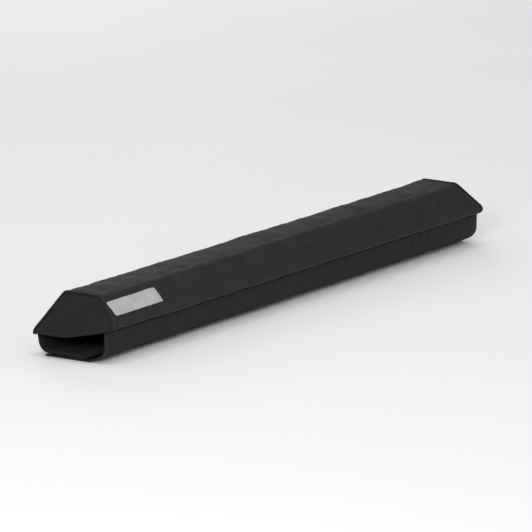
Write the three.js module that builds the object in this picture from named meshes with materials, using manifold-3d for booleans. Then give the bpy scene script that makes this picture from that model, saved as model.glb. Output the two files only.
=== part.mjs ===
// A roof rack pad: a long foam block with raked ends, sewn into a black cloth cover.
// Two flaps run down from its bottom seams and close round a channel with hook-and-loop tape.
// Units are millimetres. X runs along the channel, -Y is the leading side and +Z is up.
// The section is laid out about the middle of the channel, and the finished group then stands on Z = 0.
import * as THREE from "three";
import { mergeVertices } from "three/addons/utils/BufferGeometryUtils.js";
import Module from "manifold-3d";

const wasm = await Module();
wasm.setup();

// Driving sizes
const padLength = 762;
const padTopWidth = 46;
const padTopCornerRadius = 7;
const padHeightOverSeam = 35;
const endRakeDegrees = 26.5;
const leadingBulgeWidth = 51.5;
const leadingBulgeHeight = 7.5;
const leadingBulgeRadius = 5;
const trailingEdgeWidth = 52;
const seatRise = 11.5;
const seatFlatEnd = 8;
const seatBendRadius = 60;
const seamOverhang = 3;

// Room inside the closed flaps
const channelWidth = 80;
const channelHeight = 30;
const channelClearance = 0.5;

// Materials and seams
const coverThickness = 1.2;
const liningThickness = 1.5;
const endPanelThickness = 1.2;
const pipingRadius = 1.6;
const pipingStart = 3;
const layerGap = 0.3;

// Flaps and closure
const flapThickness = 1;
const flapEndInset = 6;
const frontFlapNoseRadius = 16;
const frontFlapNoseTuck = 3.5;
const frontFlapSagStart = 20;
const frontFlapSagRadius = 15;
const frontFlapReach = 38;
const rearFlapTailRadius = 12;
const rearFlapTailSlack = 3.5;
const rearFlapReach = 16;
const rearFlapSeamInset = 4.5;
const hemWidth = 8;
const foldFullness = 0.95;
const tapeThickness = 1;
const tapeHemGap = 3;
const tapeEndInset = 6;

// Plain patch on the leading slope
const labelLength = 90;
const labelHeight = 19;
const labelThickness = 0.6;
const labelFromTopEdge = 10;
const labelFromEnd = 7.5;
const labelCornerRadius = 2;

// How finely the round stretches are cut, and what the modelling needs
const cornerSteps = 6;
const pipingSides = 8;
const pipingStep = 3;
const cutMargin = 30;
const smallestRadius = 0.05;
const straightEnough = 1e-6;
const mergeDistance = 1e-4;

// Heights about the middle of the channel. The seat is flat at the back and rises to the leading seam.
const leadingSeamZ = channelHeight / 2 + channelClearance;
const topZ = leadingSeamZ + padHeightOverSeam;
const seatZ = leadingSeamZ - seatRise;
const rearFlapTopZ = -channelHeight / 2 - channelClearance;
const tapeStack = 2 * tapeThickness + 3 * layerGap;
const hemStack = flapThickness + 2 * layerGap;
const frontFlapTopZ = rearFlapTopZ - flapThickness - Math.max(tapeStack, hemStack);
const loopTapeZ = rearFlapTopZ - flapThickness - layerGap - tapeThickness / 2;
const hookTapeZ = frontFlapTopZ + layerGap + tapeThickness / 2;
const hemRise = 2 * flapThickness + layerGap;
const foldRadius = (foldFullness * hemRise) / 2;

// Widths about the middle of the channel
const noseY = -channelWidth / 2 - channelClearance;
const leadingSeamY = noseY - flapThickness - seamOverhang;
const tapeStartY = -rearFlapReach + hemWidth + tapeHemGap;
const tapeEndY = frontFlapReach - hemWidth - tapeHemGap;
const rake = Math.tan(THREE.MathUtils.degToRad(endRakeDegrees));
const alongRake = Math.hypot(1, rake);
const cutLowZ = seatZ - cutMargin;
const cutHighZ = topZ + cutMargin;

// Corners of the pad's outer face, from the leading bottom seam over the top to the trailing edge
const leadingSeam = { y: leadingSeamY, z: leadingSeamZ, r: 2 };
const leadingBulge = { y: -leadingBulgeWidth, z: leadingSeamZ + leadingBulgeHeight, r: leadingBulgeRadius };
const leadingTop = { y: -padTopWidth / 2, z: topZ, r: padTopCornerRadius };
const trailingTop = { y: padTopWidth / 2, z: topZ, r: padTopCornerRadius };
const trailingSeam = { y: trailingEdgeWidth, z: seatZ, r: 2.5 };
const seatBend = { y: seatFlatEnd, z: seatZ, r: seatBendRadius };
const coverCorners = [leadingSeam, leadingBulge, leadingTop, trailingTop, trailingSeam];
const coverEdges = coverCorners.length - 1;

function direction(from, to) {
  return new THREE.Vector2(to.y - from.y, to.z - from.z).normalize();
}

function leftOf(along) {
  return new THREE.Vector2(-along.y, along.x);
}

// Where the two edges that meet at a corner cross, once each has moved to its left by its own shift
function shiftedCorner(corner, before, after, shiftBefore, shiftAfter) {
  const sine = before.cross(after);
  const place = new THREE.Vector2(corner.y, corner.z);
  if (Math.abs(sine) < straightEnough) return place.addScaledVector(leftOf(before), shiftBefore);
  const cosine = before.dot(after);
  place.addScaledVector(before, (shiftBefore * cosine - shiftAfter) / sine);
  return place.addScaledVector(leftOf(before), shiftBefore);
}

// Points round a corner: an arc tangent to both edges, or the bare corner where it is sharp
function arcPoints(place, before, after, radius) {
  const turn = Math.atan2(before.cross(after), before.dot(after));
  if (radius < smallestRadius || Math.abs(turn) < straightEnough) return [place];
  const reach = radius * Math.tan(Math.abs(turn) / 2);
  const start = place.clone().addScaledVector(before, -reach);
  const side = Math.sign(turn);
  const centre = start.clone().addScaledVector(leftOf(before), radius * side);
  const points = [];
  for (let i = 0; i <= cornerSteps; i++) {
    points.push(start.clone().rotateAround(centre, (turn * i) / cornerSteps));
  }
  return points;
}

// An open path through the corners, moved to its left by a shift, with its inner corners rounded
function openPath(corners, shift) {
  const last = corners.length - 1;
  const along = corners.slice(1).map((corner, i) => direction(corners[i], corner));
  const points = [new THREE.Vector2(corners[0].y, corners[0].z).addScaledVector(leftOf(along[0]), shift)];
  for (let i = 1; i < last; i++) {
    const place = shiftedCorner(corners[i], along[i - 1], along[i], shift, shift);
    const radius = corners[i].r - shift * Math.sign(along[i - 1].cross(along[i]));
    points.push(...arcPoints(place, along[i - 1], along[i], radius));
  }
  const end = new THREE.Vector2(corners[last].y, corners[last].z);
  points.push(end.addScaledVector(leftOf(along[last - 1]), shift));
  return points;
}

// A closed path through the corners, each of its edges moved to the left by its own shift
function closedPath(corners, shifts) {
  const count = corners.length;
  const along = corners.map((corner, i) => direction(corner, corners[(i + 1) % count]));
  return corners.flatMap((corner, i) => {
    const before = along[(i + count - 1) % count];
    const shiftBefore = shifts[(i + count - 1) % count];
    const place = shiftedCorner(corner, before, along[i], shiftBefore, shifts[i]);
    const radius = corner.r - Math.min(shiftBefore, shifts[i]) * Math.sign(before.cross(along[i]));
    return arcPoints(place, before, along[i], radius);
  });
}

// A sheet seen end on: the band between two shifts of one path
function sheetShape(corners, fromShift, toShift) {
  return new THREE.Shape([...openPath(corners, fromShift), ...openPath(corners, toShift).reverse()]);
}

// The pad seen end on, with the cover faces and the seat faces drawn in by their own amounts
function padShape(coverInset, seatInset) {
  const corners = [...coverCorners, seatBend];
  const shifts = corners.map((_, i) => (i < coverEdges ? -coverInset : -seatInset));
  return new THREE.Shape(closedPath(corners, shifts));
}

// A section in Y and Z drawn out along X, centred on X = 0
function alongX(shape, length) {
  const geometry = new THREE.ExtrudeGeometry(shape, { depth: length, bevelEnabled: false });
  const axes = [new THREE.Vector3(0, 1, 0), new THREE.Vector3(0, 0, 1), new THREE.Vector3(1, 0, 0)];
  geometry.applyMatrix4(new THREE.Matrix4().makeBasis(...axes));
  return geometry.translate(-length / 2, 0, 0);
}

// A side view in X and Z drawn out across the whole pad
function acrossY(points) {
  const width = leadingBulgeWidth + trailingEdgeWidth + 2 * cutMargin;
  const shape = new THREE.Shape(points);
  const geometry = new THREE.ExtrudeGeometry(shape, { depth: width, bevelEnabled: false });
  const axes = [new THREE.Vector3(1, 0, 0), new THREE.Vector3(0, 0, 1), new THREE.Vector3(0, -1, 0)];
  geometry.applyMatrix4(new THREE.Matrix4().makeBasis(...axes));
  return geometry.translate(0, width / 2, 0);
}

// Height of the seat where it slopes up to the leading seam
function seatZAt(y) {
  return seatZ + (seatRise * (seatFlatEnd - y)) / (seatFlatEnd - leadingSeamY);
}

// X of the raked end plane at a height, drawn in square to the plane by an inset
function endX(z, inset) {
  return padLength / 2 - rake * (z - seatZ) - inset * alongRake;
}

function toSolid(geometry) {
  const bare = new THREE.BufferGeometry();
  bare.setAttribute("position", geometry.getAttribute("position"));
  if (geometry.index) bare.setIndex(geometry.index);
  const merged = mergeVertices(bare, mergeDistance);
  const vertProperties = new Float32Array(merged.getAttribute("position").array);
  const triVerts = new Uint32Array(merged.index.array);
  return new wasm.Manifold(new wasm.Mesh({ numProp: 3, vertProperties, triVerts }));
}

function toGeometry(solid) {
  const mesh = solid.getMesh();
  const geometry = new THREE.BufferGeometry();
  geometry.setAttribute("position", new THREE.BufferAttribute(mesh.vertProperties, 3));
  geometry.setIndex(new THREE.BufferAttribute(mesh.triVerts, 1));
  geometry.computeVertexNormals();
  return geometry;
}

function drawnAlong(shape) {
  return toSolid(alongX(shape, 2 * padLength));
}

// The part of a solid that lies between the two raked end planes
function betweenEnds(solid, inset) {
  const profile = [
    new THREE.Vector2(-endX(cutLowZ, inset), cutLowZ),
    new THREE.Vector2(endX(cutLowZ, inset), cutLowZ),
    new THREE.Vector2(endX(cutHighZ, inset), cutHighZ),
    new THREE.Vector2(-endX(cutHighZ, inset), cutHighZ),
  ];
  return toGeometry(solid.intersect(toSolid(acrossY(profile))));
}

// A flat panel with the outline of the pad, lying in the raked plane of one end
function endPanel(side) {
  const corner = (z, inset) => new THREE.Vector2(side * endX(z, inset), z);
  const profile = [
    corner(cutLowZ, 0),
    corner(cutHighZ, 0),
    corner(cutHighZ, endPanelThickness),
    corner(cutLowZ, endPanelThickness),
  ];
  const outline = padShape(pipingRadius + layerGap, 0);
  return toGeometry(drawnAlong(outline).intersect(toSolid(acrossY(profile))));
}

// A round bead along the seam between an end panel and the cover
function endPiping(side) {
  const seam = new THREE.CurvePath();
  const points = openPath(coverCorners, 0).map(
    (point) => new THREE.Vector3(side * endX(point.y, 0), point.x, point.y),
  );
  for (let i = 1; i < points.length; i++) {
    seam.add(new THREE.LineCurve3(points[i - 1], points[i]));
  }
  const length = seam.getLength();
  const steps = Math.round((length - 2 * pipingStart) / pipingStep);
  const knots = [];
  for (let i = 0; i <= steps; i++) {
    const distance = pipingStart + ((length - 2 * pipingStart) * i) / steps;
    knots.push(seam.getPointAt(distance / length));
  }
  const extrudePath = new THREE.CatmullRomCurve3(knots, false, "centripetal");
  const round = new THREE.Shape();
  for (let i = 0; i < pipingSides; i++) {
    const angle = (2 * Math.PI * i) / pipingSides;
    const x = pipingRadius * Math.cos(angle);
    const y = pipingRadius * Math.sin(angle);
    if (i === 0) round.moveTo(x, y);
    else round.lineTo(x, y);
  }
  return new THREE.ExtrudeGeometry(round, { steps, extrudePath, bevelEnabled: false });
}

// The fabric over the top and both sides, ending at the two bottom seams
function topCover() {
  const hollow = drawnAlong(padShape(coverThickness, -liningThickness));
  return betweenEnds(drawnAlong(padShape(0, 0)).subtract(hollow), pipingRadius + layerGap);
}

// The lining over the channel, from just inside one bottom seam to the other
function seatLining() {
  const above = drawnAlong(padShape(0, liningThickness));
  const whole = drawnAlong(padShape(coverThickness + layerGap, 0));
  return betweenEnds(whole.subtract(above), endPanelThickness + layerGap);
}

function foamCore() {
  const whole = drawnAlong(padShape(coverThickness + layerGap, liningThickness + layerGap));
  return betweenEnds(whole, endPanelThickness + layerGap);
}

// The outer flap: down the leading side, tucked in below, sagging to the closure, with a hem folded up
function frontFlap() {
  const outerZ = frontFlapTopZ - flapThickness;
  const outerY = noseY - flapThickness;
  const noseZ = -channelHeight / 2 + frontFlapNoseTuck;
  const corners = [
    { y: outerY, z: seatZAt(noseY) - layerGap, r: 0 },
    { y: outerY, z: noseZ, r: frontFlapNoseRadius },
    { y: -frontFlapSagStart, z: outerZ, r: frontFlapSagRadius },
    { y: frontFlapReach, z: outerZ, r: foldRadius },
    { y: frontFlapReach, z: outerZ + hemRise, r: foldRadius },
    { y: frontFlapReach - hemWidth, z: outerZ + hemRise, r: 0 },
  ];
  return alongX(sheetShape(corners, 0, flapThickness), padLength - 2 * flapEndInset);
}

// The inner flap: down the trailing side, forward under the channel, with a hem folded down
function rearFlap() {
  const corners = [
    { y: trailingSeam.y - rearFlapSeamInset, z: seatZ - layerGap, r: 0 },
    { y: channelWidth / 2 + rearFlapTailSlack, z: rearFlapTopZ, r: rearFlapTailRadius },
    { y: -rearFlapReach, z: rearFlapTopZ, r: foldRadius },
    { y: -rearFlapReach, z: rearFlapTopZ - hemRise, r: foldRadius },
    { y: -rearFlapReach + hemWidth, z: rearFlapTopZ - hemRise, r: 0 },
  ];
  return alongX(sheetShape(corners, 0, flapThickness), padLength - 2 * flapEndInset);
}

// A strip of hook or loop tape between the two hems
function closureTape(z) {
  const length = padLength - 2 * (flapEndInset + tapeEndInset);
  const geometry = new THREE.BoxGeometry(length, tapeEndY - tapeStartY, tapeThickness);
  return geometry.translate(0, (tapeStartY + tapeEndY) / 2, z);
}

function roundedRectangle(length, height, radius) {
  const shape = new THREE.Shape();
  const x = length / 2 - radius;
  const y = height / 2 - radius;
  const quarter = Math.PI / 2;
  shape.absarc(x, y, radius, 0, quarter, false);
  shape.absarc(-x, y, radius, quarter, 2 * quarter, false);
  shape.absarc(-x, -y, radius, 2 * quarter, 3 * quarter, false);
  shape.absarc(x, -y, radius, 3 * quarter, 4 * quarter, false);
  return shape;
}

function material(color, roughness) {
  return new THREE.MeshStandardMaterial({ color, roughness, metalness: 0 });
}

function addPiece(group, name, geometry, finish) {
  const mesh = new THREE.Mesh(geometry, finish);
  mesh.name = name;
  group.add(mesh);
  return mesh;
}

// The patch lies on the leading slope, near the end that shows
function addLabel(group) {
  const slope = direction(leadingTop, leadingBulge);
  const outward = leftOf(slope).negate();
  const shape = roundedRectangle(labelLength, labelHeight, labelCornerRadius);
  const options = { depth: labelThickness, bevelEnabled: false, curveSegments: cornerSteps };
  const geometry = new THREE.ExtrudeGeometry(shape, options);
  const label = addPiece(group, "side_label", geometry, material(0xd8dadb, 0.45));
  const down = labelFromTopEdge + labelHeight / 2;
  const centre = new THREE.Vector2(leadingTop.y, leadingTop.z).addScaledVector(slope, down);
  centre.addScaledVector(outward, layerGap);
  const startX = -endX(centre.y, 0) + labelFromEnd;
  label.position.set(startX + labelLength / 2, centre.x, centre.y);
  const axes = [
    new THREE.Vector3(1, 0, 0),
    new THREE.Vector3(0, -slope.x, -slope.y),
    new THREE.Vector3(0, outward.x, outward.y),
  ];
  label.quaternion.setFromRotationMatrix(new THREE.Matrix4().makeBasis(...axes));
}

function buildPad() {
  const pad = new THREE.Group();
  const wovenCover = material(0x2a2b2c, 0.85);
  const foldedTape = material(0x1d1e1f, 0.7);
  addPiece(pad, "foam_core", foamCore(), material(0x3a3b3d, 0.95));
  addPiece(pad, "top_cover", topCover(), wovenCover);
  addPiece(pad, "left_end_panel", endPanel(-1), wovenCover);
  addPiece(pad, "right_end_panel", endPanel(1), wovenCover);
  addPiece(pad, "left_end_piping", endPiping(-1), foldedTape);
  addPiece(pad, "right_end_piping", endPiping(1), foldedTape);
  addPiece(pad, "seat_lining", seatLining(), material(0x232425, 0.9));
  addPiece(pad, "front_flap", frontFlap(), wovenCover);
  addPiece(pad, "rear_flap", rearFlap(), wovenCover);
  addPiece(pad, "hook_tape", closureTape(hookTapeZ), material(0x18191a, 0.8));
  addPiece(pad, "loop_tape", closureTape(loopTapeZ), material(0x1c1d1e, 0.98));
  addLabel(pad);
  return pad;
}

// Stands the pad on Z = 0 with its bounding box centred on the origin
function standOnOrigin(group) {
  const box = new THREE.Box3().setFromObject(group, true);
  const centre = box.getCenter(new THREE.Vector3());
  group.position.set(-centre.x, -centre.y, -box.min.z);
  return group;
}

export default standOnOrigin(buildPad());
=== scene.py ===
"""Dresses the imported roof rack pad: a sewn black cloth cover over foam, with two flaps closed below.

Lengths are in millimetres of the row frame until a mesh is made, and then in metres.
X runs along the pad, -Y is the leading side, which the camera sees, and Z is up.
"""

import math

import bpy
import numpy as np
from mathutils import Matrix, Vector


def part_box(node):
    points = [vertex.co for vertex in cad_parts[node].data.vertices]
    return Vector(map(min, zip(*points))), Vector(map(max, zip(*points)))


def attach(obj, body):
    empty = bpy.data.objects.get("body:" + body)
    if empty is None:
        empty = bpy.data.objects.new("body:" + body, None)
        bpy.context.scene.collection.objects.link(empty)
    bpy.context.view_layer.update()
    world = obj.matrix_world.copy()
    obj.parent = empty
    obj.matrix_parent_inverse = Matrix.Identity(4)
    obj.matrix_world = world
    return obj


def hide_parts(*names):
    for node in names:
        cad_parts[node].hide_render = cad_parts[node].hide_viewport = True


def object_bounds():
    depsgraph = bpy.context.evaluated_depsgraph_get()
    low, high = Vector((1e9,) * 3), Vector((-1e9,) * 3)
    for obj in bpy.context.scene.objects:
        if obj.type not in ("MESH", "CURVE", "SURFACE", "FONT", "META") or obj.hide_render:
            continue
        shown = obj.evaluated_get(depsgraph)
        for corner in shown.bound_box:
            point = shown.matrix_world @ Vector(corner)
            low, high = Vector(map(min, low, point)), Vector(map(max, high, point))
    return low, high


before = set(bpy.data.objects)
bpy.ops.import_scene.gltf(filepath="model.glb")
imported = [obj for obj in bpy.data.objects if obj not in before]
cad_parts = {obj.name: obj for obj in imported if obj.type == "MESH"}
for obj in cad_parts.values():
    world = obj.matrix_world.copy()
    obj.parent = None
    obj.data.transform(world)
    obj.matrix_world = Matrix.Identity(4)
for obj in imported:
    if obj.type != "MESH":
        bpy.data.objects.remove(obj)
CAD_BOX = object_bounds()

MM = 0.001


def low(node_name):
    """Lowest corner of a CAD node, in millimetres."""
    return np.array(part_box(node_name)[0]) / MM


def high(node_name):
    """Highest corner of a CAD node, in millimetres."""
    return np.array(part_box(node_name)[1]) / MM


# The section: corners as (y, z, radius). The seat is flat at the back and rises to the leading seam.
SEAT_Z = low("seat_lining")[2]
TOP_Z = high("top_cover")[2]
LEADING_SEAM = (-44.98, SEAT_Z + 11.5, 2.0)
LEADING_BULGE = (-51.98, SEAT_Z + 19.0, 5.0)
LEADING_TOP = (-23.48, TOP_Z, 7.0)
TRAILING_TOP = (22.52, TOP_Z, 7.0)
TRAILING_SEAM = (51.52, SEAT_Z, 2.5)
SEAT_BEND = (7.52, SEAT_Z, 60.0)

# The raked ends. An inset is measured square to the end plane.
END_X = high("right_end_panel")[0]
RAKE = math.tan(math.radians(26.5))
ALONG_RAKE = math.hypot(1, RAKE)
COVER_END_INSET = 1.55
LINING_END_INSET = 0.9
PANEL_OUTLINE_INSET = 1.5

# The cover
COVER_THICKNESS = 0.8
TURNED_UNDER = 2.6
CLOTH_EXCESS = 0.004
CROWN_CAP = 3.2
EASE = 0.3
FOAM_CLEARANCE = 0.25
SIM_FRAMES = 20

# The end panels. Their middle counts as one depth away from the seam round them.
PANEL_THICKNESS = 0.8
PANEL_SWELL = 2.0
PANEL_DEPTH = 24.0
PANEL_RINGS = 30
PANEL_STEP = 1.4
FOOT_HEIGHT = 12.0
FOOT_ROW_SHARE = 0.86

# The piping, whose tips thin out and tuck in
PIPING_RADIUS = 1.6
PIPING_SHORT = 0.5
PIPING_TUCK = 2.8
PIPING_STEP = 0.6
PIPING_SIDES = 18

# The lining and the flaps
LINING_THICKNESS = 1.4
LINING_GAP = 0.2
FLAP_THICKNESS = 0.9
FLAP_SHIFT = 0.5
HEM_WIDTH = 8.0
HEM_RADIUS = 1.09
FLAP_END_X = high("front_flap")[0]
FRONT_NOSE_Y = low("front_flap")[1]
FRONT_NOSE_Z = 8.9
FRONT_NOSE_RADIUS = 16.0
FRONT_SAG_Y = -20.48
FRONT_SAG_RADIUS = 15.0
FRONT_HEM_Y = high("front_flap")[1]
FRONT_HEM_Z = 2.3
REAR_TOP_Y = 47.02
REAR_TAIL_Y = 43.02
REAR_TAIL_RADIUS = 12.0
REAR_UNDER_Z = 4.9
REAR_HEM_Y = low("rear_flap")[1]
REAR_HEM_Z = 2.6

# Distances down each flap: between which it hangs free, and where its rows of stitches lie
FRONT_FREE = (3, 46)
FRONT_ROWS = (59, 84, 94.5)
REAR_FREE = (3, 40)
REAR_ROWS = (36, 62, 70)

# The closure tapes
TAPE_BASE = 0.62
TAPE_PILE = 0.26
TAPE_SELVEDGE = 1.6
TAPE_GRID = (420, 26)

# The plain patch
LABEL_CORNER = 2.0
LABEL_FILM = 0.34
LABEL_GRID = (91, 25)

# Thread, and how far the rows on the cover lie from a seam or an end and stop short of the end
STITCH_PITCH = 3.4
STITCH_LENGTH = 2.7
THREAD_RADIUS = 0.27
THREAD_SLANT = 0.09
SEAM_ROW = 6.2
END_ROW = 1.7
ROW_SHORT = 4

# How finely lines are cut: steps in the section, and cells along the pad
ARC_STEPS = 14
STEP_ANGLE = math.radians(14)
CELL = 1.8
LINING_STEP = 2.2
LINING_CELL = 2.4
FLAP_STEP = 2.0
FLAP_STEP_ANGLE = math.radians(5)
FLAP_CELL = 2.4
SIM_CELL = 4.0
END_CELL = 0.9
END_ZONE = 12.0


# Lines in the section

def left_of(way):
    """The directions a quarter turn to the left of others."""
    return np.stack([-way[..., 1], way[..., 0]], -1)


def rounded(corners):
    """A fine line through (y, z, radius) corners, with every corner but the first and last an arc."""
    line = [np.array(corners[0][:2])]
    for before, corner, after in zip(corners, corners[1:], corners[2:]):
        place = np.array(corner[:2])
        into = place - before[:2]
        into = into / np.linalg.norm(into)
        out = np.array(after[:2]) - place
        out = out / np.linalg.norm(out)
        turn = math.atan2(into[0] * out[1] - into[1] * out[0], into @ out)
        start = place - into * corner[2] * math.tan(abs(turn) / 2)
        centre = start + left_of(into) * corner[2] * np.sign(turn)
        spoke = start - centre
        for k in range(ARC_STEPS + 1):
            angle = turn * k / ARC_STEPS
            line.append(centre + spoke * math.cos(angle) + left_of(spoke) * math.sin(angle))
    line.append(np.array(corners[-1][:2]))
    return np.array(line)


def travelled(line):
    """Distance along a line at each of its points."""
    return np.append(0, np.cumsum(np.linalg.norm(np.diff(line, axis=0), axis=1)))


def spaced(line, step, step_angle=STEP_ANGLE):
    """The same line with its points a step apart, and closer together where it bends."""
    length = np.linalg.norm(np.diff(line, axis=0), axis=1)
    line = line[np.append(True, length > 1e-6)]
    way = np.diff(line, axis=0)
    length = np.linalg.norm(way, axis=1)
    heading = np.unwrap(np.arctan2(way[:, 1], way[:, 0]))
    turn = np.abs(np.diff(heading, prepend=heading[0], append=heading[-1]))
    pace = np.maximum(length / step, (turn[:-1] + turn[1:]) / 2 / step_angle)
    passed = np.append(0, np.cumsum(pace))
    spots = np.linspace(0, passed[-1], math.ceil(passed[-1]) + 1)
    return np.stack([np.interp(spots, passed, line[:, i]) for i in (0, 1)], 1)


def even(line, step):
    """The same line with its points at one distance from each other."""
    passed = travelled(line)
    spots = np.linspace(0, passed[-1], round(passed[-1] / step) + 1)
    return np.stack([np.interp(spots, passed, line[:, i]) for i in (0, 1)], 1)


def side_of(line):
    """Unit vectors to the left of a line, which is the outside of the cover."""
    way = np.gradient(line, travelled(line), axis=0)
    way /= np.linalg.norm(way, axis=1, keepdims=True)
    return left_of(way)


def past(corner, towards, distance):
    """A bare corner some distance from one corner towards another."""
    start = np.array(corner[:2])
    way = np.array(towards[:2]) - start
    return (*(start + way / np.linalg.norm(way) * distance), 0)


def end_x(z, inset):
    """X of the raked end plane at a height, drawn in square to the plane by an inset."""
    return END_X - RAKE * (z - SEAT_Z) - inset * ALONG_RAKE


def stations(cell):
    """Places along the pad from -1 to 1, closer together beside its ends."""
    middle = END_X - END_ZONE
    half = np.linspace(0, middle, math.ceil(middle / cell) + 1)
    edge = np.linspace(middle, END_X, math.ceil(END_ZONE / min(cell, END_CELL)) + 1)
    half = np.concatenate([half, edge[1:]]) / END_X
    return np.concatenate([-half[:0:-1], half])


COVER_CORNERS = [
    past(LEADING_SEAM, SEAT_BEND, TURNED_UNDER),
    LEADING_SEAM,
    LEADING_BULGE,
    LEADING_TOP,
    TRAILING_TOP,
    TRAILING_SEAM,
    past(TRAILING_SEAM, SEAT_BEND, TURNED_UNDER),
]
PIPING_CORNERS = [
    past(LEADING_SEAM, LEADING_BULGE, PIPING_SHORT),
    LEADING_BULGE,
    LEADING_TOP,
    TRAILING_TOP,
    past(TRAILING_SEAM, TRAILING_TOP, PIPING_SHORT),
]
LINING_CORNERS = [
    past(TRAILING_SEAM, SEAT_BEND, TURNED_UNDER + LINING_GAP),
    SEAT_BEND,
    past(LEADING_SEAM, SEAT_BEND, TURNED_UNDER + LINING_GAP),
]
FRONT_FLAP_CORNERS = [
    (FRONT_NOSE_Y, high("front_flap")[2] - 0.2, 0),
    (FRONT_NOSE_Y, FRONT_NOSE_Z, FRONT_NOSE_RADIUS),
    (FRONT_SAG_Y, 0, FRONT_SAG_RADIUS),
    (FRONT_HEM_Y, 0, HEM_RADIUS),
    (FRONT_HEM_Y, FRONT_HEM_Z, HEM_RADIUS),
    (FRONT_HEM_Y - HEM_WIDTH, FRONT_HEM_Z, 0),
]
REAR_FLAP_CORNERS = [
    (REAR_TOP_Y, SEAT_Z - 0.3, 0),
    (REAR_TAIL_Y, REAR_UNDER_Z, REAR_TAIL_RADIUS),
    (REAR_HEM_Y, REAR_UNDER_Z, HEM_RADIUS),
    (REAR_HEM_Y, REAR_HEM_Z, HEM_RADIUS),
    (REAR_HEM_Y + HEM_WIDTH, REAR_HEM_Z, 0),
]


# Unevenness of cloth, the same in every run

def rumple(a, b, size, seed):
    """A smooth random field from about -1 to 1, whose lumps are about one size across."""
    draw = np.random.default_rng(seed)
    waves = 9
    total = np.zeros(np.broadcast(a, b).shape)
    for _ in range(waves):
        angle = draw.uniform(0, 2 * math.pi)
        pitch = size * draw.uniform(0.75, 1.6)
        phase = draw.uniform(0, 2 * math.pi)
        total = total + np.sin(2 * math.pi * (a * math.cos(angle) + b * math.sin(angle)) / pitch + phase)
    return total / math.sqrt(waves)


def gathers(along, away, pitch, depth, fade, seed):
    """Small folds that run square to a seam and die away from it."""
    drift = rumple(along, 0 * along, pitch * 6, seed)
    strength = 0.6 + 0.4 * rumple(along, 0 * along, pitch * 4, seed + 1)
    wave = np.sin(2 * math.pi * along / pitch + 2.2 * drift)
    return depth * strength * wave * np.exp(-away / fade)


def creases(a, b, size, depth, seed):
    """Soft valleys that wander over a cloth and come and go."""
    lines = np.exp(-((rumple(a, b, size, seed) / 0.2) ** 2))
    share = np.clip(0.45 + 0.7 * rumple(a, b, size * 0.9, seed + 1), 0, 1)
    return -depth * lines * share


def bump_at(value, place, width):
    """1 where a value is at a place, and less on both sides of it."""
    return np.exp(-(((value - place) / width) ** 2))


def at_least(value, least):
    """The value, held above a least one with a soft knee."""
    knee = 0.12
    return least + knee * np.logaddexp(0, (value - least) / knee)


# Meshes

def as_object(name, points, faces, flip=False):
    """A smooth-shaded mesh object from points in millimetres."""
    mesh = bpy.data.meshes.new(name)
    if flip:
        faces = [face[::-1] for face in faces]
    mesh.from_pydata((np.asarray(points).reshape(-1, 3) * MM).tolist(), [], faces)
    mesh.validate()
    mesh.polygons.foreach_set("use_smooth", np.ones(len(mesh.polygons), bool))
    piece = bpy.data.objects.new(name, mesh)
    bpy.context.scene.collection.objects.link(piece)
    return piece


def grid_faces(rows, columns):
    """Quads of a grid of points."""
    index = np.arange(rows * columns).reshape(rows, columns)
    quads = np.stack([index[:-1, :-1], index[1:, :-1], index[1:, 1:], index[:-1, 1:]], -1)
    return quads.reshape(-1, 4).tolist()


def tube_faces(rows, columns):
    """Faces of a tube made of rings of points, with both ends closed."""
    index = np.arange(rows * columns).reshape(rows, columns)
    after = np.roll(index, -1, axis=1)
    faces = np.stack([index[:-1], after[:-1], after[1:], index[1:]], -1).reshape(-1, 4).tolist()
    return faces + [index[0].tolist()[::-1], index[-1].tolist()]


def disc_points(spokes):
    """Points or values of a disc from spokes that all start at its middle, which is kept once."""
    return np.concatenate([spokes[:1, 0], spokes[:, 1:].reshape(-1, *spokes.shape[2:])])


def disc_faces(spokes, rings):
    """Faces of a disc whose points come from disc_points."""
    index = 1 + np.arange(spokes * (rings - 1)).reshape(spokes, rings - 1)
    after = np.roll(index, -1, axis=0)
    faces = np.stack([index[:, :-1], after[:, :-1], after[:, 1:], index[:, 1:]], -1).reshape(-1, 4).tolist()
    return faces + [[0, b, a] for a, b in zip(index[:, 0].tolist(), after[:, 0].tolist())]


def slab(upper, lower):
    """A closed mesh between two grids of points of one shape."""
    rows, columns = upper.shape[:2]
    top = np.arange(rows * columns).reshape(rows, columns)
    bottom = top + rows * columns
    faces = grid_faces(rows, columns)
    faces += [[corner + rows * columns for corner in face[::-1]] for face in faces]
    rim = np.concatenate([top[0, :-1], top[:-1, -1], top[-1, :0:-1], top[:0:-1, 0]])
    under = np.concatenate([bottom[0, :-1], bottom[:-1, -1], bottom[-1, :0:-1], bottom[:0:-1, 0]])
    after, under_after = np.roll(rim, -1), np.roll(under, -1)
    faces += np.stack([rim, after, under_after, under], -1).tolist()
    return np.concatenate([upper.reshape(-1, 3), lower.reshape(-1, 3)]), faces


def outward_faces(piece):
    """Turns the faces of a closed mesh so that they all point out."""
    mesh = piece.data
    points = np.array([v.co for v in mesh.vertices])
    mesh.calc_loop_triangles()
    triangles = np.array([t.vertices for t in mesh.loop_triangles])
    a, b, c = (points[triangles[:, i]] for i in range(3))
    if (a * np.cross(b, c)).sum() < 0:
        mesh.flip_normals()


def normals_of(points):
    """Unit normals of a grid of points."""
    across = np.gradient(points, axis=0)
    along = np.gradient(points, axis=1)
    normal = np.cross(across, along)
    return normal / np.linalg.norm(normal, axis=-1, keepdims=True)


def thicken(piece, thickness, side):
    """Gives a surface its thickness: side 1 outside it, -1 inside it and 0 half each way."""
    solid = piece.modifiers.new("thickness", "SOLIDIFY")
    solid.thickness = thickness * MM
    solid.offset = side


def flat_place(u, v):
    """Where each point lies on the flat cloth, in metres, for the weave."""
    u, v = np.broadcast_arrays(u, v)
    return np.stack([u, v, 0 * u], -1) * MM


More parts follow.
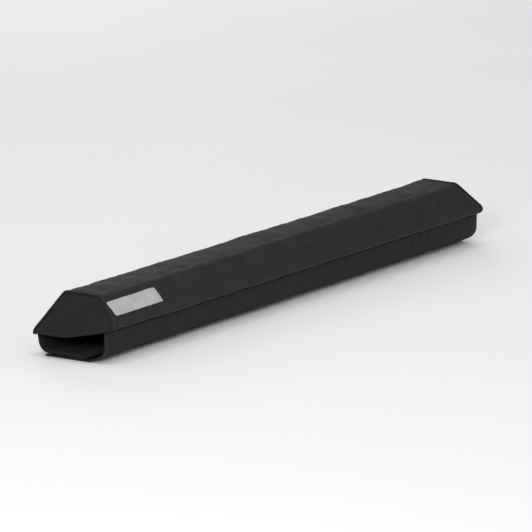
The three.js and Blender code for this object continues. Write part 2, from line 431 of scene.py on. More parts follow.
def note(piece, name, values):
    """Keeps a value or a vector for each vertex, which the materials read."""
    values = np.asarray(values, np.float32)
    if values.ndim > 1 and values.shape[-1] == 3:
        kept = piece.data.attributes.new(name, "FLOAT_VECTOR", "POINT")
        kept.data.foreach_set("vector", values.ravel())
    else:
        kept = piece.data.attributes.new(name, "FLOAT", "POINT")
        kept.data.foreach_set("value", values.ravel())


def finish_piece(piece, material, slot, *replaced):
    """Gives a piece its material and body, and hides the CAD nodes that it stands for. The slot is not used.
    """
    piece.data.materials.append(material)
    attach(piece, "root")
    if replaced:
        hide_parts(*replaced)


# The cover, swelled by a cloth simulation

def body_grid(section, places, inset):
    """The points of a section carried along the pad, between the raked ends."""
    x = places[None, :] * end_x(section[:, 1], inset)[:, None]
    y, z = (np.broadcast_to(section[:, i, None], x.shape) for i in (0, 1))
    return np.stack([x, y, z], -1)


def pushed_out(grid, section, out):
    """A grid carried along the pad, moved square to its section."""
    side = side_of(section)
    return np.stack([grid[..., 0], grid[..., 1] + out * side[:, :1], grid[..., 2] + out * side[:, 1:]], -1)


def swelled(grid, ridges):
    """How far a cover sewn down at its edges moves under pressure from inside, with its ridges held."""
    rows, columns = grid.shape[:2]
    cover = as_object("swelling", grid, grid_faces(rows, columns), flip=True)
    held = np.zeros((rows, columns), bool)
    held[[0, 1, -2, -1, *ridges], :] = True
    held[:, [0, -1]] = True
    seam = cover.vertex_groups.new(name="seam")
    seam.add(np.flatnonzero(held).tolist(), 1.0, "REPLACE")
    cloth = cover.modifiers.new("cloth", "CLOTH")
    settings = cloth.settings
    settings.quality = 6
    settings.mass = 0.2
    settings.tension_stiffness = 80
    settings.compression_stiffness = 80
    settings.shear_stiffness = 8
    settings.bending_stiffness = 0.6
    settings.use_pressure = True
    settings.uniform_pressure_force = 4
    settings.shrink_min = -CLOTH_EXCESS
    settings.vertex_group_mass = "seam"
    settings.effector_weights.gravity = 0
    cloth.collision_settings.use_collision = False
    cloth.collision_settings.use_self_collision = False
    scene = bpy.context.scene
    for step in range(1, SIM_FRAMES + 1):
        scene.frame_set(step)
    made = cover.evaluated_get(bpy.context.evaluated_depsgraph_get()).data
    place = np.empty(rows * columns * 3, np.float32)
    made.vertices.foreach_get("co", place)
    scene.frame_set(1)
    bpy.data.objects.remove(cover)
    return place.reshape(rows, columns, 3).astype(float) / MM - grid


def crown(section, places):
    """How far the simulated cover stands out from the drawn one."""
    grid = body_grid(section, places, COVER_END_INSET)
    corners = [LEADING_BULGE, LEADING_TOP, TRAILING_TOP]
    ridges = [int(np.linalg.norm(section - corner[:2], axis=1).argmin()) for corner in corners]
    moved = swelled(grid, ridges)
    side = side_of(section)
    out = moved[..., 1] * side[:, :1] + moved[..., 2] * side[:, 1:]
    return CROWN_CAP * np.tanh(out / CROWN_CAP)


def spread(field, rows_at, columns_at, rows_to, columns_to):
    """A field on a coarse grid, carried to a fine one and smoothed."""
    wide = np.stack([np.interp(columns_to, columns_at, row) for row in field])
    full = np.stack([np.interp(rows_to, rows_at, column) for column in wide.T], 1)
    for _ in range(3):
        full[1:-1] = (full[:-2] + 2 * full[1:-1] + full[2:]) / 4
        full[:, 1:-1] = (full[:, :-2] + 2 * full[:, 1:-1] + full[:, 2:]) / 4
    return full


def cover_relief(travel, x, from_end):
    """Dents, gathers and the pull of the seams on the cover, in millimetres outwards."""
    s = travel[:, None] + 0 * x
    from_seam = np.minimum(s, travel[-1] - s)
    relief = EASE + 0.34 * rumple(x, s, size=95, seed=11) + 0.16 * rumple(x, s, size=34, seed=12)
    relief += creases(x, s, size=110, depth=0.7, seed=17)
    relief += creases(x + 0.8 * s, s, size=60, depth=0.45, seed=19)
    relief += gathers(s, from_end, pitch=13, depth=0.55, fade=17, seed=13)
    relief += gathers(x, from_seam, pitch=17, depth=0.5, fade=13, seed=15)
    relief *= 1 - 0.8 * bump_at(from_end, place=0, width=3)
    relief -= 0.5 * bump_at(from_end, place=0, width=1.3)
    relief -= 0.22 * bump_at(from_end, place=END_ROW, width=0.8)
    relief -= 0.26 * bump_at(from_seam, place=SEAM_ROW, width=1.0)
    return relief


def edge_wear(section, travel, from_end):
    """From 0 to 1 where the cover turns a corner or meets the piping."""
    way = np.gradient(section, travel, axis=0)
    heading = np.unwrap(np.arctan2(way[:, 1], way[:, 0]))
    bend = np.abs(np.gradient(heading, travel))
    near = bump_at(travel[:, None], place=travel[None, :], width=2.5)
    corner = (near * np.minimum(bend, 0.25)[None, :]).sum(1) / near.sum(1) / 0.14
    return np.clip(corner[:, None] * 0.5 + 0.5 * bump_at(from_end, place=0, width=3), 0, 1)


def make_cover(material):
    """The sewn cover, and what the stitches and the patch need to lie on it."""
    section = spaced(rounded(COVER_CORNERS), CELL)
    places = stations(CELL)
    coarse = even(rounded(COVER_CORNERS), SIM_CELL)
    coarse_places = np.linspace(-1, 1, math.ceil(2 * END_X / SIM_CELL) + 1)
    travel, coarse_travel = travelled(section), travelled(coarse)
    coarse_travel *= travel[-1] / coarse_travel[-1]
    grid = body_grid(section, places, COVER_END_INSET)
    x = grid[..., 0]
    reach = end_x(section[:, 1], COVER_END_INSET)[:, None]
    from_end = (reach - np.abs(x)) / ALONG_RAKE
    swell = spread(crown(coarse, coarse_places), coarse_travel, coarse_places, travel, places)
    swell *= 1 + 0.4 * rumple(x, 0.3 * travel[:, None], size=44, seed=14)
    least = -FOAM_CLEARANCE - 0.4 * bump_at(from_end, place=0, width=2)
    out = at_least(swell + cover_relief(travel, x, from_end), least)
    grid = pushed_out(grid, section, out)
    cover = as_object("sewn_cover", grid, grid_faces(*grid.shape[:2]), flip=True)
    note(cover, "weave", flat_place(x, travel[:, None]))
    note(cover, "wear", edge_wear(section, travel, from_end))
    thicken(cover, COVER_THICKNESS, -1)
    finish_piece(cover, material, "woven_cover", "top_cover")
    return {"grid": grid, "travel": travel, "places": places, "section": section}


def height_at(cover, s):
    """Height of the drawn section at distances round the cover."""
    return np.interp(s, cover["travel"], cover["section"][:, 1])


def place_on(cover, s, x):
    """Points of the cover's outside, and its normals, at distances s round it and x along it."""
    row = np.interp(s, cover["travel"], np.arange(len(cover["travel"])))
    station = x / end_x(height_at(cover, s), COVER_END_INSET)
    column = np.interp(station, cover["places"], np.arange(len(cover["places"])))
    r = np.minimum(row.astype(int), len(cover["travel"]) - 2)
    c = np.minimum(column.astype(int), len(cover["places"]) - 2)
    past_row = (row - r)[..., None]
    past_column = (column - c)[..., None]

    def blended(field):
        upper = field[r, c] * (1 - past_column) + field[r, c + 1] * past_column
        lower = field[r + 1, c] * (1 - past_column) + field[r + 1, c + 1] * past_column
        return upper * (1 - past_row) + lower * past_row

    normal = -blended(normals_of(cover["grid"]))
    return blended(cover["grid"]), normal / np.linalg.norm(normal, axis=-1, keepdims=True)


# The end panels and their piping

def outline_of_end(step):
    """The closed outline of the section, from the middle of the seat and round."""
    middle = past(SEAT_BEND, TRAILING_SEAM, 20)
    seat_to_top = [middle, SEAT_BEND, LEADING_SEAM, LEADING_BULGE, LEADING_TOP]
    return spaced(rounded([*seat_to_top, TRAILING_TOP, TRAILING_SEAM, middle]), step)[:-1]


def panel_outline():
    """The line round an end panel, just inside the piping, and the distance along it."""
    line = outline_of_end(PANEL_STEP)
    closed = np.vstack([line[-1:], line, line[:1]])
    outwards = side_of(closed)[1:-1]
    low_down = np.clip((SEAT_Z + FOOT_HEIGHT - line[:, 1]) / FOOT_HEIGHT, 0, 1)
    on_seat = low_down * (np.abs(outwards[:, 1] + 1) < 0.35)
    line = line - outwards * (PANEL_OUTLINE_INSET * (1 - 0.6 * on_seat))[:, None]
    return line, travelled(closed)[1:-1]


def make_end_panel(side, name, stands_for, material):
    """The swelled panel of one end, -1 or 1, as spokes from its middle. Returns its foot's stitch row."""
    line, around = panel_outline()
    centre = (line.min(0) + line.max(0)) / 2
    share = np.linspace(0, 1, PANEL_RINGS) ** 0.85
    flat = centre + (line - centre)[:, None, :] * share[None, :, None]
    y, z = flat[..., 0], flat[..., 1]
    upslope = (z - SEAT_Z) * ALONG_RAKE
    from_seam = (1 - share)[None, :] * PANEL_DEPTH
    out = PANEL_SWELL * (1 - share[None, :] ** 2.4) + 0.2 * rumple(y, upslope, size=24, seed=21 + side)
    out = out + gathers(around[:, None] + 0 * y, from_seam, pitch=12, depth=0.26, fade=4, seed=23 + side)
    out = out - 0.5 * bump_at(from_seam, place=0, width=1.6)
    out = out + creases(y, upslope, size=40, depth=0.4, seed=27 + side)
    x = side * (end_x(z, 0) + out / ALONG_RAKE)
    spokes = np.stack([x, y, z + out * RAKE / ALONG_RAKE], -1)
    panel = as_object(name, disc_points(spokes), disc_faces(*spokes.shape[:2]), flip=side > 0)
    note(panel, "weave", disc_points(flat_place(y, upslope)))
    note(panel, "wear", disc_points(0.7 * bump_at(from_seam, place=0, width=3) + 0 * y))
    thicken(panel, PANEL_THICKNESS, -1)
    finish_piece(panel, material, "woven_cover", stands_for)
    return foot_row(spokes, side)


def foot_row(spokes, side):
    """The row of stitches just above the foot of an end panel."""
    ring = int(PANEL_RINGS * FOOT_ROW_SHARE)
    row = spokes[:, ring]
    foot = np.flatnonzero(row[:, 2] < SEAT_Z + FOOT_HEIGHT + 1)
    foot = foot[np.argsort(row[foot, 1])][2:-2]
    normals = normals_of(np.vstack([spokes, spokes[:1]]))[:-1] * -side
    return row[foot], normals[foot, ring]


def make_piping(side, name, stands_for, material):
    """The piping of one end seam, whose tips thin out and tuck in behind the foot of the panel."""
    line = spaced(rounded(PIPING_CORNERS), PIPING_STEP)
    travel = travelled(line)
    from_tip = np.minimum(travel, travel[-1] - travel)
    tuck = bump_at(from_tip, place=0, width=PIPING_TUCK)
    line = line - side_of(line) * tuck[:, None]
    plane = np.array([side, 0, RAKE]) / ALONG_RAKE
    spine = np.stack([side * end_x(line[:, 1], 0), line[:, 0], line[:, 1]], -1)
    spine = spine - plane * PIPING_RADIUS * tuck[:, None]
    way = np.gradient(spine, travel, axis=0)
    way /= np.linalg.norm(way, axis=1, keepdims=True)
    out = np.cross(way, plane) * -side
    angle = np.linspace(0, 2 * math.pi, PIPING_SIDES, endpoint=False)
    twist = 0.05 * np.sin(2 * math.pi * travel[:, None] / 3.1 + angle[None, :])
    lumps = 0.05 * rumple(travel[:, None], 3 * angle[None, :], size=11, seed=31)
    radius = (PIPING_RADIUS - 0.08 + twist + lumps) * (1 - 0.35 * tuck[:, None])
    dome = np.clip(from_tip / PIPING_RADIUS, 0.02, 1)
    radius = radius * np.sqrt(1 - (1 - dome) ** 2)[:, None]
    ring = np.cos(angle)[None, :, None] * plane + np.sin(angle)[None, :, None] * out[:, None, :]
    points = spine[:, None, :] + radius[..., None] * ring
    piping = as_object(name, points, tube_faces(*radius.shape))
    outward_faces(piping)
    note(piping, "weave", flat_place(travel[:, None], angle[None, :] * PIPING_RADIUS))
    note(piping, "wear", 0.5 + 0.5 * np.sin(angle)[None, :] + 0 * radius)
    finish_piece(piping, material, "piping", stands_for)


# The lining, the flaps and their tapes

def make_lining(material):
    """The cloth under the foam, with its outside below."""
    section = spaced(rounded(LINING_CORNERS), LINING_STEP)
    grid = body_grid(section, stations(LINING_CELL), LINING_END_INSET)
    s = travelled(section)[:, None]
    x = grid[..., 0]
    out = 0.14 * rumple(x, s, size=40, seed=41) + 0.06 * rumple(x, s, size=13, seed=42)
    grid = pushed_out(grid, section, out)
    lining = as_object("channel_lining", grid, grid_faces(*grid.shape[:2]))
    note(lining, "weave", flat_place(x, s))
    note(lining, "wear", 0 * x)
    thicken(lining, LINING_THICKNESS, 1)
    finish_piece(lining, material, "lining", "seat_lining")


def make_flap(name, corners, stands_for, material, free, seed):
    """A cloth flap along its path, rippled where nothing presses on it: between two distances down it."""
    section = spaced(rounded(corners), FLAP_STEP, FLAP_STEP_ANGLE)
    section = section + side_of(section) * FLAP_SHIFT
    travel = travelled(section)
    places = np.linspace(-1, 1, math.ceil(2 * FLAP_END_X / FLAP_CELL) + 1) * FLAP_END_X
    s, x = (field.astype(float) for field in np.meshgrid(travel, places, indexing="ij"))
    loose = np.clip((s - free[0] + 6) / 9, 0, 1) * np.clip((free[1] - s) / 9, 0, 1)
    from_end = FLAP_END_X - np.abs(x)
    ripple = 0.34 * rumple(x, s, size=120, seed=seed) + 0.2 * rumple(x, s * 0.5, size=46, seed=seed + 1)
    ripple = ripple + gathers(x, s, pitch=19, depth=0.5, fade=14, seed=seed + 2)
    ripple = ripple - 0.3 * np.exp(-from_end / 5)
    ripple = ripple + creases(x, s, size=130, depth=0.6, seed=seed + 4)
    drawn = np.stack([x, section[:, :1] + 0 * x, section[:, 1:] + 0 * x], -1)
    grid = pushed_out(drawn, section, -loose * ripple)
    flap = as_object(name, grid, grid_faces(*grid.shape[:2]))
    note(flap, "weave", flat_place(x, s))
    note(flap, "wear", 0.8 * bump_at(from_end, place=0, width=3))
    thicken(flap, FLAP_THICKNESS, 0)
    finish_piece(flap, material, "woven_cover", stands_for)
    return {"grid": grid, "travel": travel}


def make_tape(name, stands_for, material, pile, seed):
    """A strip of closure tape, with its rough face on the side that pile names: 1 above, -1 below."""
    corner, far = low(stands_for), high(stands_for)
    along = np.linspace(corner[0], far[0], TAPE_GRID[0])
    across = np.linspace(corner[1], far[1], TAPE_GRID[1])
    x, y = np.meshgrid(along, across, indexing="ij")
    back = corner[2] if pile > 0 else far[2]
    selvedge = np.clip(np.minimum(y - corner[1], far[1] - y) / TAPE_SELVEDGE, 0, 1)
    rough = 0.10 * rumple(x, y, size=3.6, seed=seed) + 0.05 * rumple(x, y, size=11, seed=seed + 1)
    face = back + pile * (TAPE_BASE + TAPE_PILE * selvedge + rough * selvedge)
    upper = np.stack([x, y, face], -1)
    lower = np.stack([x, y, back + 0 * x + 0.01 * pile], -1)
    tape = as_object(name, *slab(upper, lower))
    outward_faces(tape)
    note(tape, "weave", np.stack([flat_place(x, y)] * 2))
    note(tape, "wear", np.zeros(2 * x.size))
    finish_piece(tape, material, stands_for, stands_for)


# The plain patch

def round_corners(x, y, half_x, half_y, radius):
    """Draws the corner cells of a rectangular grid in to a quarter circle."""
    over_x = np.abs(x) - (half_x - radius)
    over_y = np.abs(y) - (half_y - radius)
    corner = (over_x > 0) & (over_y > 0)
    reach = np.where(corner, np.hypot(over_x, over_y), 1)
    scale = np.where(corner, np.maximum(over_x, over_y) / reach, 1)
    new_x = np.where(corner, np.sign(x) * (half_x - radius + over_x * scale), x)
    new_y = np.where(corner, np.sign(y) * (half_y - radius + over_y * scale), y)
    return new_x, new_y


def make_label(cover, material):
    """A thin light film that follows the leading slope, with round corners."""
    corner, far = low("side_label"), high("side_label")
    middle = (corner + far) / 2
    half_x = (far[0] - corner[0]) / 2
    half_s = math.hypot(far[1] - corner[1], far[2] - corner[2]) / 2 - 0.3
    gaps = np.linalg.norm(cover["section"] - middle[1:], axis=1)
    centre_s = cover["travel"][gaps.argmin()]
    a, b = np.meshgrid(*(np.linspace(-1, 1, count) for count in LABEL_GRID), indexing="ij")
    x, s = round_corners(a * half_x, b * half_s, half_x, half_s, LABEL_CORNER)
    place, normal = place_on(cover, centre_s + s, middle[0] + x)
    edge = np.minimum(half_x - np.abs(x), half_s - np.abs(s))
    lift = 0.10 + LABEL_FILM * (1 - np.exp(-np.maximum(edge, 0) / 0.35))
    lift = lift - 0.10 * bump_at(edge, place=1.7, width=0.35)
    label = as_object("plain_label", *slab(place + normal * lift[..., None], place + normal * 0.04))
    outward_faces(label)
    note(label, "weave", np.stack([flat_place(x, s)] * 2))
    note(label, "wear", np.stack([bump_at(edge, place=0, width=1.2)] * 2))
    finish_piece(label, material, "label", "side_label")


# Stitching

def stitch_form():
    """One stitch: a short thread, thinner where it dives, as (along, across, up) points and faces."""
    t = np.linspace(-1, 1, 6)
    angle = np.linspace(0, 2 * math.pi, 6, endpoint=False)
    fat = THREAD_RADIUS * (1 - 0.45 * t**4)
    rise = 0.20 - 0.42 * t**4
    along = (t * STITCH_LENGTH / 2)[:, None] + 0 * angle
    across = fat[:, None] * np.cos(angle)
    up = rise[:, None] + fat[:, None] * np.sin(angle)
    return np.stack([along, across, up], -1).reshape(-1, 3), tube_faces(len(t), len(angle))


def along_row(points, normals):
    """Middles, ways and normals of the stitches of a row."""
    travel = travelled(points)
    count = int(travel[-1] // STITCH_PITCH)
    spare = travel[-1] - count * STITCH_PITCH
    spots = spare / 2 + STITCH_PITCH * (np.arange(count) + 0.5)

    def at(where, field):
        return np.stack([np.interp(where, travel, field[:, i]) for i in range(3)], 1)

    way = at(spots + 0.5, points) - at(spots - 0.5, points)
    way /= np.linalg.norm(way, axis=1, keepdims=True)
    up = at(spots, normals)
    up = up - (up * way).sum(1, keepdims=True) * way
    up /= np.linalg.norm(up, axis=1, keepdims=True)
    return at(spots, points), way, up


def make_stitching(name, rows, material):
    """One piece of thread from rows of surface points and their normals."""
    form, form_faces = stitch_form()
    placed = [along_row(points, normals) for points, normals in rows]
    middle, way, up = (np.concatenate([row[i] for row in placed]) for i in range(3))
    way = way + THREAD_SLANT * np.cross(up, way)
    way /= np.linalg.norm(way, axis=1, keepdims=True)
    across = np.cross(up, way)
    axes = np.stack([way, across, up], 1)
    points = middle[:, None, :] + form @ axes
    faces = [[corner + i * len(form) for corner in face] for i in range(len(middle)) for face in form_faces]
    thread = as_object(name, points, faces)
    outward_faces(thread)
    note(thread, "weave", np.tile(form, (len(middle), 1)) * MM)
    finish_piece(thread, material, "piping")


def cover_rows(cover):
    """Rows beside both end seams and above both bottom seams."""
    total = cover["travel"][-1]
    rows = []
    for s in (SEAM_ROW, total - SEAM_ROW):
        reach = end_x(height_at(cover, s), COVER_END_INSET) - ROW_SHORT
        x = np.linspace(-reach, reach, 420)
        rows.append(place_on(cover, np.full(len(x), s), x))
    s = np.linspace(SEAM_ROW, total - SEAM_ROW, 110)
    for side in (-1, 1):
        rows.append(place_on(cover, s, side * end_x(height_at(cover, s), COVER_END_INSET + END_ROW)))
    return rows


def flap_rows(flap, distances):
    """Rows along a flap at distances down it and up both its ends, on both its faces."""
    grid, travel = flap["grid"], flap["travel"]
    stop = int(np.abs(travel - distances[-1]).argmin())
    rows = []
    for face in (-1, 1):
        normal = normals_of(grid) * face
        surface = grid + normal * FLAP_THICKNESS / 2
        for distance in distances:
            row = int(np.abs(travel - distance).argmin())
            rows.append((surface[row, 4:-4], normal[row, 4:-4]))
        for column in (2, -3):
            rows.append((surface[2:stop, column], normal[2:stop, column]))
    return rows


# Materials

def new_material(name):
    """A material, its node tree and its shader."""
    made = bpy.data.materials.new(name)
    made.use_nodes = True
    return made, made.node_tree, made.node_tree.nodes["Principled BSDF"]


def node(tree, kind, inputs=None, **settings):
    """A shader node whose inputs are linked to a socket or set to a value."""
    made = tree.nodes.new("ShaderNode" + kind)
    for name, value in settings.items():
        setattr(made, name, value)
    for name, value in (inputs or {}).items():
        if isinstance(value, bpy.types.NodeSocket):
            tree.links.new(value, made.inputs[name])
        else:
            made.inputs[name].default_value = value
    return made


def noted(tree, name, output="Vector"):
    """What note() kept on the mesh."""
    return node(tree, "Attribute", attribute_name=name).outputs[output]


def computed(tree, operation, a, b=0.0, c=0.0):
    """The output of one Math node."""
    return node(tree, "Math", {0: a, 1: b, 2: c}, operation=operation).outputs[0]


def ramp(tree, value, span, result):
    """A value carried from one span to another, and held at its ends."""
    ends = {"From Min": span[0], "From Max": span[1], "To Min": result[0], "To Max": result[1]}
    return node(tree, "MapRange", {"Value": value, **ends}).outputs["Result"]


def mixed(tree, factor, a, b):
    """Colour a where the factor is 0 and b where it is 1."""
    made = node(tree, "Mix", {"Factor": factor}, data_type="RGBA")
    for socket, value in ((6, a), (7, b)):
        if isinstance(value, bpy.types.NodeSocket):
            tree.links.new(value, made.inputs[socket])
        else:
            made.inputs[socket].default_value = (*value, 1)
    return made.outputs[2]


def cool_grey(value):
    """A grey a touch towards blue."""
    return (value, 1.015 * value, 1.04 * value)


def noise(tree, place, scale, detail=3.0, roughness=0.55):
    """A cloudy value from 0 to 1."""
    sizes = {"Vector": place, "Scale": scale, "Detail": detail, "Roughness": roughness}
    return node(tree, "TexNoise", sizes).outputs[0]


def bumped(tree, height, strength, distance, **more):
    """A normal from a height, on top of another normal where there is one."""
    sizes = {"Height": height, "Strength": strength, "Distance": distance}
    if "normal" in more:
        sizes["Normal"] = more.pop("normal")
    return node(tree, "Bump", sizes, **more).outputs[0]


def woven(tree, place, pitch_u, pitch_v):
    """Height of a plain weave from 0 to 1, and which of its two threads is on top."""
    parts = node(tree, "SeparateXYZ", {0: place})
    u = computed(tree, "SINE", computed(tree, "MULTIPLY", parts.outputs[0], math.pi / pitch_u))
    v = computed(tree, "SINE", computed(tree, "MULTIPLY", parts.outputs[1], math.pi / pitch_v))
    product = computed(tree, "MULTIPLY", u, v)
    height = computed(tree, "POWER", computed(tree, "ABSOLUTE", product), 0.6)
    return height, ramp(tree, product, (-0.3, 0.3), (0.0, 1.0))


def fabric(name, dark, light, worn, pitch, rough, depth):
    """A woven cloth: its greys, the pitch of its threads and how deep its weave is, in metres."""
    made, tree, shader = new_material(name)
    place = noted(tree, "weave")
    bent = node(tree, "TexNoise", {"Vector": place, "Scale": 160.0, "Detail": 2.0}).outputs["Color"]
    bend = {0: bent, 1: (pitch * 0.7,) * 3, 2: place}
    shifted = node(tree, "VectorMath", bend, operation="MULTIPLY_ADD").outputs[0]
    height, over = woven(tree, shifted, pitch, pitch * 1.12)
    cloudy = noise(tree, place, 38.0, detail=4.0, roughness=0.6)
    flecks = noise(tree, place, 420.0, detail=3.0, roughness=0.65)
    broad = noise(tree, place, 9.0, detail=2.0)
    tone = computed(tree, "MULTIPLY_ADD", over, 0.26, ramp(tree, cloudy, (0.3, 0.7), (0.0, 0.34)))
    tone = computed(tree, "ADD", tone, ramp(tree, flecks, (0.32, 0.68), (0.0, 0.44)))
    body = mixed(tree, tone, cool_grey(dark), cool_grey(light))
    wear = noted(tree, "wear", "Fac")
    rubbed = computed(tree, "MULTIPLY", wear, ramp(tree, flecks, (0.42, 0.68), (0.05, 0.6)))
    rubbed = computed(tree, "MULTIPLY", rubbed, ramp(tree, broad, (0.35, 0.65), (0.5, 1.0)))
    tree.links.new(mixed(tree, rubbed, body, cool_grey(worn)), shader.inputs["Base Color"])
    spread_rough = (rough - 0.07, rough + 0.07)
    tree.links.new(ramp(tree, cloudy, (0.3, 0.7), spread_rough), shader.inputs["Roughness"])
    shader.inputs["Sheen Weight"].default_value = 0.025
    shader.inputs["Sheen Roughness"].default_value = 0.45
    shader.inputs["Specular IOR Level"].default_value = 0.14
    threads = bumped(tree, height, 0.75, depth)
    tree.links.new(bumped(tree, flecks, 0.35, 0.0004, normal=threads), shader.inputs["Normal"])
    return made


def pile_material(name, dark, light, scale, rough):
    """Hook or loop tape: a fuzzy face of tiny lumps."""
    made, tree, shader = new_material(name)
    place = noted(tree, "weave")
    cells = node(tree, "TexVoronoi", {"Vector": place, "Scale": scale, "Randomness": 0.6}).outputs["Distance"]
    fuzz = noise(tree, place, scale * 1.7, detail=4.0, roughness=0.7)
    tone = computed(tree, "MULTIPLY", cells, ramp(tree, fuzz, (0.3, 0.7), (0.4, 1.4)))
    tree.links.new(mixed(tree, tone, cool_grey(light), cool_grey(dark)), shader.inputs["Base Color"])
    tree.links.new(ramp(tree, fuzz, (0.3, 0.7), (rough - 0.1, rough + 0.05)), shader.inputs["Roughness"])
    shader.inputs["Sheen Weight"].default_value = 0.3
    tree.links.new(bumped(tree, tone, 0.8, 0.0006, invert=True), shader.inputs["Normal"])
    return made


def foam_material():
    """Closed-cell foam, hidden inside the cover."""
    made, tree, shader = new_material("foam")
    place = node(tree, "TexCoord").outputs["Object"]
    cells = node(tree, "TexVoronoi", {"Vector": place, "Scale": 900.0}).outputs["Distance"]
    tone = noise(tree, place, 30.0)
    tree.links.new(mixed(tree, tone, cool_grey(0.035), cool_grey(0.06)), shader.inputs["Base Color"])
    shader.inputs["Roughness"].default_value = 0.92
    tree.links.new(bumped(tree, cells, 0.5, 0.0004), shader.inputs["Normal"])
    return made


def label_material():
    """A light pressed film: satin, with the weave below showing faintly and a rubbed edge."""
    made, tree, shader = new_material("label film")
    place = noted(tree, "weave")
    height, _ = woven(tree, place, 0.0009, 0.001)
    cloudy = noise(tree, place, 60.0, detail=4.0, roughness=0.6)
    flecks = noise(tree, place, 700.0, detail=3.0, roughness=0.7)
    tone = computed(tree, "MULTIPLY_ADD", height, 0.25, ramp(tree, cloudy, (0.3, 0.7), (0.0, 0.6)))
    body = mixed(tree, tone, cool_grey(0.34), cool_grey(0.45))
    wear = noted(tree, "wear", "Fac")
    rubbed = computed(tree, "MULTIPLY", wear, ramp(tree, flecks, (0.5, 0.7), (0.0, 0.5)))
    tree.links.new(mixed(tree, rubbed, body, cool_grey(0.2)), shader.inputs["Base Color"])
    tree.links.new(ramp(tree, cloudy, (0.3, 0.7), (0.4, 0.55)), shader.inputs["Roughness"])
    tree.links.new(bumped(tree, height, 0.25, 0.0001), shader.inputs["Normal"])
    return made


def thread_material():
    """Twisted black thread."""
    made, tree, shader = new_material("thread")
    parts = node(tree, "SeparateXYZ", {0: noted(tree, "weave")})
    slanted = computed(tree, "MULTIPLY_ADD", parts.outputs[1], 1.4, parts.outputs[0])
    plies = computed(tree, "SINE", computed(tree, "MULTIPLY", slanted, 2 * math.pi / 0.0007))
    tone = ramp(tree, plies, (-1.0, 1.0), (0.0, 1.0))
    tree.links.new(mixed(tree, tone, cool_grey(0.02), cool_grey(0.058)), shader.inputs["Base Color"])
    shader.inputs["Roughness"].default_value = 0.48
    shader.inputs["Sheen Weight"].default_value = 0.2
    tree.links.new(bumped(tree, tone, 0.7, 0.0001), shader.inputs["Normal"])
    return made


def floor_material():
    """A plain pale matt floor."""
    made, tree, shader = new_material("floor")
    tone = noise(tree, node(tree, "TexCoord").outputs["Object"], 3.0)
    tree.links.new(mixed(tree, tone, (0.86,) * 3, (0.9,) * 3), shader.inputs["Base Color"])
    shader.inputs["Roughness"].default_value = 0.8
    return made


# Stage, lights and camera. Angles are in degrees, the lens in millimetres, places in metres, power in watts.

AZIMUTH = -56.1
ELEVATION = 12.4
DISTANCE = 9.4
LENS = 567
FLOOR_REACH = 40.0
SKY_COLOR = (0.93, 0.94, 0.95, 1)
SKY_STRENGTH = 0.52
LIGHT_TARGET = (0, 0, 0.03)
SOFTBOXES = [
    {"name": "overhead", "place": (-0.4, -0.2, 2.6), "size": 2.0, "power": 20},
    {"name": "key", "place": (-3.0, -1.3, 1.3), "size": 0.8, "power": 52},
    {"name": "fill", "place": (2.0, -2.2, 0.8), "size": 1.2, "power": 12},
    {"name": "back", "place": (2.2, 2.2, 1.2), "size": 1.2, "power": 15},
]


def aim(thing, place, target):
    """Sets a camera or a light at a place, looking at a target."""
    thing.location = Vector(place)
    thing.rotation_euler = (Vector(target) - Vector(place)).to_track_quat("-Z", "Y").to_euler()


def make_camera():
    """The camera at the photograph's angle, with a long lens on the middle of the pad."""
    camera = bpy.data.objects.new("camera", bpy.data.cameras.new("camera"))
    bpy.context.scene.collection.objects.link(camera)
    camera.data.lens = LENS
    camera.data.clip_end = 200
    lowest, highest = CAD_BOX
    target = (lowest + highest) / 2
    a, e = math.radians(AZIMUTH), math.radians(ELEVATION)
    back = Vector((math.sin(a) * math.cos(e), -math.cos(a) * math.cos(e), math.sin(e)))
    aim(camera, target + back * DISTANCE, target)
    bpy.context.scene.camera = camera


def softbox(name, place, size, power):
    """A square soft light, aimed at the pad."""
    data = bpy.data.lights.new(name, "AREA")
    data.size = size
    data.energy = power
    lamp = bpy.data.objects.new(name, data)
    bpy.context.scene.collection.objects.link(lamp)
    lamp.visible_camera = False
    aim(lamp, place, LIGHT_TARGET)


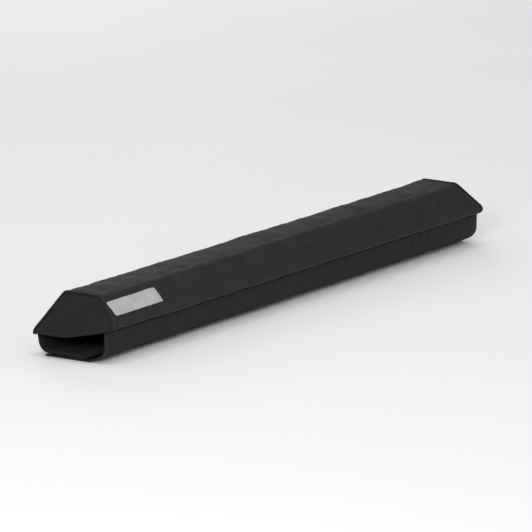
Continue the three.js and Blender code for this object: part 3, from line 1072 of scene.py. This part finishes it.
def make_stage():
    """The floor, the lights and a plain bright world."""
    mesh = bpy.data.meshes.new("floor")
    corners = [(x * FLOOR_REACH, y * FLOOR_REACH, 0) for x, y in ((-1, -1), (1, -1), (1, 1), (-1, 1))]
    mesh.from_pydata(corners, [], [[0, 1, 2, 3]])
    mesh.materials.append(floor_material())
    floor = bpy.data.objects.new("floor", mesh)
    bpy.context.scene.collection.objects.link(floor)
    for light in SOFTBOXES:
        softbox(**light)
    world = bpy.data.worlds.new("studio")
    world.use_nodes = True
    sky = world.node_tree.nodes["Background"]
    sky.inputs["Color"].default_value = SKY_COLOR
    sky.inputs["Strength"].default_value = SKY_STRENGTH
    bpy.context.scene.world = world
    bpy.context.scene.view_settings.view_transform = "Standard"


def dress_foam():
    """Gives the foam of the CAD part its material."""
    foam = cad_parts["foam_core"]
    foam.data.materials.clear()
    foam.data.materials.append(foam_material())


def build():
    """Makes the scene: the stage, then every piece of the pad."""
    make_camera()
    make_stage()
    cloth = fabric("woven cover", dark=0.005, light=0.023, worn=0.04, pitch=0.00075, rough=0.7, depth=0.0003)
    tape = fabric("folded tape", dark=0.005, light=0.019, worn=0.036, pitch=0.0005, rough=0.62, depth=0.0002)
    lining = fabric("lining", dark=0.007, light=0.022, worn=0.036, pitch=0.0014, rough=0.85, depth=0.0004)
    hooks = pile_material("hook tape", dark=0.006, light=0.03, scale=1100.0, rough=0.6)
    loops = pile_material("loop tape", dark=0.008, light=0.034, scale=800.0, rough=0.9)
    thread = thread_material()
    cover = make_cover(cloth)
    feet = []
    for side, word in ((-1, "left"), (1, "right")):
        feet.append(make_end_panel(side, word + "_panel_cloth", word + "_end_panel", cloth))
        make_piping(side, word + "_bias_piping", word + "_end_piping", tape)
    make_lining(lining)
    front = make_flap("front_flap_cloth", FRONT_FLAP_CORNERS, "front_flap", cloth, FRONT_FREE, seed=51)
    rear = make_flap("rear_flap_cloth", REAR_FLAP_CORNERS, "rear_flap", cloth, REAR_FREE, seed=61)
    make_tape("hook_strip", "hook_tape", hooks, pile=1, seed=71)
    make_tape("loop_strip", "loop_tape", loops, pile=-1, seed=73)
    make_label(cover, label_material())
    make_stitching("cover_stitching", cover_rows(cover) + feet, thread)
    make_stitching("front_flap_stitching", flap_rows(front, FRONT_ROWS), thread)
    make_stitching("rear_flap_stitching", flap_rows(rear, REAR_ROWS), thread)
    dress_foam()


build()
